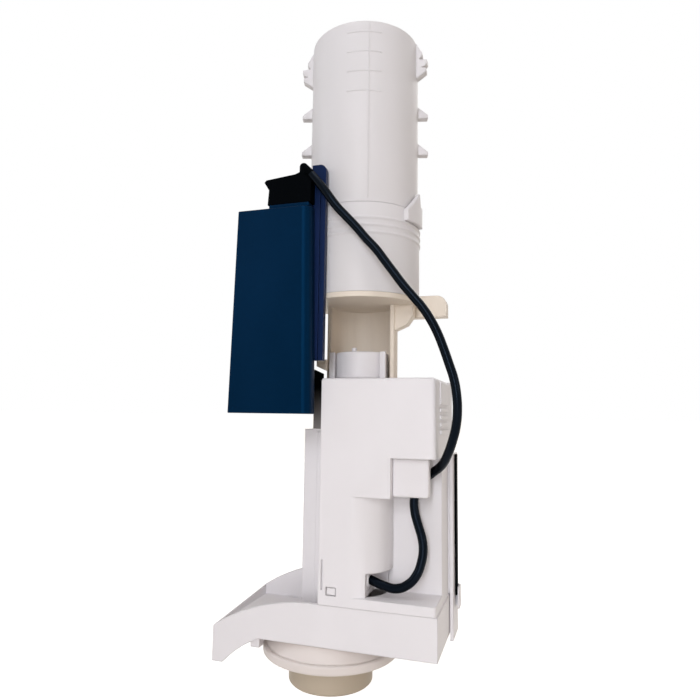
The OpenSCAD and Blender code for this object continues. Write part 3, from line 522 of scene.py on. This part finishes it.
def tube_sleeve():
    """The sleeve: turned wall with three soft ridges, and the slotted block for the rail of the bell."""
    low, top = span("sleeve", "z")
    ridge_drop = 14.5
    ridge_pitch = 3.5
    ridge_half = 1.1
    ridge_reach = 0.55
    ridge_steps = 6
    outline = [(sleeve_bore, low), (sleeve_r, low)]
    for row in range(3):
        middle = top - ridge_drop + ridge_pitch * row
        for step in range(-ridge_steps, ridge_steps + 1):
            swell = 0.5 + 0.5 * math.cos(math.pi * step / ridge_steps)
            outline.append((sleeve_r + ridge_reach * swell, middle + ridge_half * step / ridge_steps))
    outline += [(sleeve_r, top), (sleeve_bore, top)]

    slide_x = -10.0
    slide_half = 5.0
    slide_front = -27.17
    slide_back = -13.17
    slide_low = 172.0
    slide_high = 206.0
    neck_half = 1.8
    slot_half = 3.3
    slot_front = -24.37
    slot_back = -20.67
    in_wall = (sleeve_r + sleeve_bore) / 2
    right_back = -math.sqrt(in_wall ** 2 - (tube_x - slide_x - slide_half) ** 2)
    middle_back = -math.sqrt(in_wall ** 2 - (tube_x - slide_x) ** 2)
    lip = [(slide_half, slide_front), (neck_half, slide_front), (neck_half, slot_front),
           (slot_half, slot_front), (slot_half, slot_back)]
    back = [(slide_half, right_back), (0.0, middle_back), (-slide_half, slide_back)]
    section = [(-x, y) for x, y in lip] + lip[::-1] + back

    def wall(small):
        turned_wall(small, outline, steps=160, sharpest=0.9, width=0.35)

    def slide(small):
        points = [(slide_x - tube_x + x, y, slide_low) for x, y in section]
        raise_outline(small, points, (0, 0, slide_high - slide_low), edge=0.25)
        bmesh.ops.connect_verts_concave(small, faces=small.faces)

    form = bmesh.new()
    add_turned(form, wall, 0)
    add_turned(form, slide, 0)
    put_in_place(form, (tube_x, 0, 0))
    piece = stand_in(form, "sleeve_moulding", "sleeve", crease=35)
    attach(piece, body_of_node["sleeve"])


def painted_shade_buffer():
    """The dark strip beside the bell, with the slanted ear on its top: a sheet of painted shade where the bell's
    shadow falls.
    """
    left = span("bell_buffer", "x")[0]
    front, back = span("bell_buffer", "y")
    low, top = span("bell_buffer", "z")
    right = 2.0
    ear_right = -2.6
    ear_shoulder = 131.0
    ear_tip = 133.2
    strip = ((left, low), (right, low), (right, top))
    ear = ((ear_right, top), (ear_right, ear_shoulder), (left, ear_tip))
    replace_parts(plate("painted_shade_buffer", strip + ear, front, back, "bell_buffer", edge=0.2), "bell_buffer")


def spout_web():
    """The web under the bend of the spout."""
    outline = ((-6.5, 223.5), (-1.5, 217.5), (-1.3, 221.0), (-5.0, 225.5))
    front = -35.2
    back = -32.0
    plate("spout_web", outline, front, back, "hose_spout", edge=0.3)


air_hose()
guide_tube()
rubber_bellows()
tube_sleeve()
painted_shade_buffer()
spout_web()

# Copies of the CAD parts with rounded edges, in metres
mould_crease = 28
flat_angle = math.radians(0.5)
weld_gap = 1e-6


def close_hole(form, axis, radius):
    """Close a round upright hole about an axis through its plate."""
    wall = [f for f in form.faces if all((v.co.xy - axis).length < radius for v in f.verts)]
    bmesh.ops.delete(form, geom=wall, context="FACES")
    open_edges = [e for e in form.edges if e.is_boundary]
    bmesh.ops.holes_fill(form, edges=open_edges, sides=0)


def rounded(node, width, closed=None, broad=None, broad_width=None):
    """A copy of a moulded part with its sharp edges rounded as a mould leaves them.

    closed is the axis and radius of a hole to close, and broad picks edges by their middle point
    that are rounded to broad_width first.
    """
    form = bmesh.new()
    form.from_mesh(nodes[node].data)
    bmesh.ops.remove_doubles(form, verts=form.verts, dist=weld_gap)
    bmesh.ops.dissolve_limit(form, angle_limit=flat_angle, verts=form.verts, edges=form.edges)
    if closed:
        close_hole(form, *closed)
    if broad:
        picked = [e for e in form.edges if broad((e.verts[0].co + e.verts[1].co) / 2)]
        round_edges(form, picked, broad_width, steps=5)
    bmesh.ops.connect_verts_concave(form, faces=form.faces)
    piece = stand_in(form, node + "_moulding", node, mould_crease)
    edge = piece.modifiers.new("edge_round", "BEVEL")
    edge.width = width
    edge.segments = 3
    edge.limit_method = "ANGLE"
    edge.angle_limit = math.radians(mould_crease)
    edge.use_clamp_overlap = True
    edge.harden_normals = True
    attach(piece, body_of_node[node])


# Places just inside the outer faces of the cover and the bell
cover_top = 0.1277
cover_front = -0.0281
cover_right = 0.0550
bell_front = -0.0368
bell_right = -0.003


def outer_cover_edge(middle):
    """True on the edges where two of the cover's top, front and right side meet."""
    return (middle.z > cover_top) + (middle.y < cover_front) + (middle.x > cover_right) > 1


def front_bell_edge(middle):
    """True on the upright edge at the front right of the bell."""
    return middle.y < bell_front and middle.x > bell_right


edge_widths = {
    "spigot": 0.0004, "outlet_seat": 0.0009, "tray_skirt": 0.0004, "base_tray": 0.0006,
    "rear_housing": 0.0006, "side_lip": 0.0003, "column_panel": 0.0002, "hose_guide": 0.0009,
    "cover_latch": 0.0003, "tube_latch": 0.0004, "lift_head": 0.0009, "head_pin": 0.0003,
    "hose_port": 0.0002, "bell_collar": 0.0005, "bell_rail": 0.0006, "hose_spout": 0.0005,
    "flow_slider": 0.0002,
}
for node, width in edge_widths.items():
    rounded(node, width)
rod_axis = Vector((tube_x * mm, 0.0))
rod_hole_reach = 0.0035
rounded("yoke", 0.0005, closed=(rod_axis, rod_hole_reach))
rounded("front_cover", 0.0007, broad=outer_cover_edge, broad_width=0.0016)
rounded("air_bell", 0.0008, broad=front_bell_edge, broad_width=0.004)


# Studio: soft lamps, a pale floor and a white surround, in metres and watts
def soft_lamp(name, spot, aim, size, power, tint, tall=None):
    """A flat lamp that looks from its spot to its aim; a tall one is a strip that draws long highlights."""
    data = bpy.data.lights.new(name, "AREA")
    data.shape = "RECTANGLE"
    data.size = size
    data.size_y = tall or size
    data.energy = power
    data.color = tint
    lamp = bpy.data.objects.new(name, data)
    scene.collection.objects.link(lamp)
    lamp.location = spot
    lamp.rotation_euler = (Vector(aim) - Vector(spot)).to_track_quat("-Z", "Y").to_euler()


soft_lamp("key_front", spot=(0.30, -1.75, 1.25), aim=(0.01, 0, 0.15), size=0.80, power=4.2,
          tint=(0.91, 0.955, 1.02))
soft_lamp("low_front", spot=(0.20, -1.40, 0.06), aim=(0.01, 0, 0.10), size=0.70, power=3.0,
          tint=(0.96, 0.97, 1.02))
soft_lamp("strip_front", spot=(0.12, -1.40, 0.50), aim=(0.01, 0, 0.12), size=0.14, power=7.2,
          tint=(0.94, 0.965, 1.03), tall=1.0)
soft_lamp("top_front", spot=(0.05, -0.55, 1.90), aim=(0.0, 0, 0.05), size=0.90, power=6.4,
          tint=(0.93, 0.97, 1.05))
soft_lamp("fill_left", spot=(-1.10, -0.30, 0.55), aim=(-0.03, 0, 0.02), size=0.40, power=2.0,
          tint=(0.88, 0.95, 1.08))
soft_lamp("edge_right", spot=(0.95, -0.45, 0.35), aim=(0.0, 0, 0.15), size=0.20, power=0.8,
          tint=(1.0, 0.94, 0.92))
soft_lamp("rim_back", spot=(0.30, 1.00, 0.80), aim=(0, 0, 0.2), size=0.80, power=3.0,
          tint=(1, 1, 1))


def seen_directly(tree):
    """1 for what the camera sees, straight or in a reflection, and 0 for light that falls on things."""
    path = tree.nodes.new("ShaderNodeLightPath")
    first = tree.nodes.new("ShaderNodeMath")
    first.operation = "MAXIMUM"
    second = tree.nodes.new("ShaderNodeMath")
    second.operation = "MAXIMUM"
    tree.links.new(path.outputs["Is Camera Ray"], first.inputs[0])
    tree.links.new(path.outputs["Is Glossy Ray"], first.inputs[1])
    tree.links.new(first.outputs["Value"], second.inputs[0])
    tree.links.new(path.outputs["Is Transmission Ray"], second.inputs[1])
    return second.outputs["Value"]


def studio_floor():
    """A pale floor just under the spigot, lifted to white where the camera sees it."""
    half = 30
    clearance = 0.0002
    tone = (0.86, 0.84, 0.80, 1)
    glow = 0.88
    form = bmesh.new()
    bmesh.ops.create_grid(form, x_segments=1, y_segments=1, size=half)
    bmesh.ops.translate(form, verts=form.verts, vec=(0, 0, cad_box[0][2] - clearance))
    floor = new_object("studio_floor", form)
    mat = bpy.data.materials.new("pale_floor")
    mat.use_nodes = True
    tree = mat.node_tree
    shader = tree.nodes["Principled BSDF"]
    shader.inputs["Base Color"].default_value = tone
    shader.inputs["Roughness"].default_value = 0.9
    shader.inputs["Specular IOR Level"].default_value = 0.0
    shader.inputs["Emission Color"].default_value = (1, 1, 1, 1)
    lift = tree.nodes.new("ShaderNodeMath")
    lift.operation = "MULTIPLY"
    lift.inputs[1].default_value = glow
    tree.links.new(seen_directly(tree), lift.inputs[0])
    tree.links.new(lift.outputs["Value"], shader.inputs["Emission Strength"])
    floor.data.materials.append(mat)


def studio_world():
    """White to look at, with a warm and dimmer light of its own."""
    warm_light = (0.25, 0.205, 0.16, 1)
    world = bpy.data.worlds.new("studio")
    scene.world = world
    world.use_nodes = True
    tree = world.node_tree
    sky = tree.nodes["Background"]
    mix = tree.nodes.new("ShaderNodeMix")
    mix.data_type = "RGBA"
    mix.inputs["A"].default_value = warm_light
    mix.inputs["B"].default_value = (1, 1, 1, 1)
    tree.links.new(seen_directly(tree), mix.inputs["Factor"])
    tree.links.new(mix.outputs["Result"], sky.inputs["Color"])


studio_floor()
studio_world()
